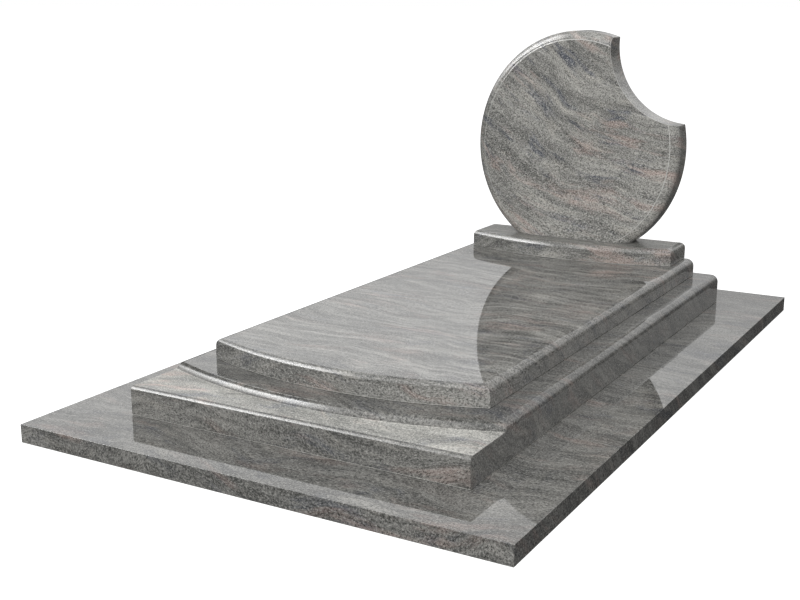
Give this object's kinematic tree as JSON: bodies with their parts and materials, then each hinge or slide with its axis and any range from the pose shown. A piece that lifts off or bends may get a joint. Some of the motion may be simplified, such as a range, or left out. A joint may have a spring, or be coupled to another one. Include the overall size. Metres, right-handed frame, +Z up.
{
  "type": "grave monument with upright headstone",
  "caption": "Polished granite grave monument: flat apron, low kerb with a bowed sill, bowed ledger slab and an upright oval headstone with a round bite out of its shoulder.",
  "frame": {"origin": "on the ground, at the middle of the apron's underside", "axes": "+Z up, +Y from the foot of the grave to its head, so the headstone's face looks towards -Y; +X to the right of someone facing the headstone"},
  "size_m": [1.4, 2.4, 1.016],
  "materials": {
    "apron_granite": "polished grey-green granite with pinkish streaks",
    "kerb_granite": "polished grey-green granite with pinkish streaks",
    "ledger_granite": "polished grey-green granite with pinkish streaks",
    "base_granite": "polished grey-green granite with pinkish streaks",
    "headstone_granite": "polished grey-green granite with pinkish streaks"
  },
  "bodies": {
    "root": {"apron_front": "apron_granite", "apron_left": "apron_granite", "apron_right": "apron_granite", "apron_back": "apron_granite", "kerb_front": "kerb_granite", "kerb_left": "kerb_granite", "kerb_right": "kerb_granite", "kerb_back": "kerb_granite", "ledger": "ledger_granite", "headstone_base": "base_granite", "headstone": "headstone_granite"}
  },
  "joints": []
}
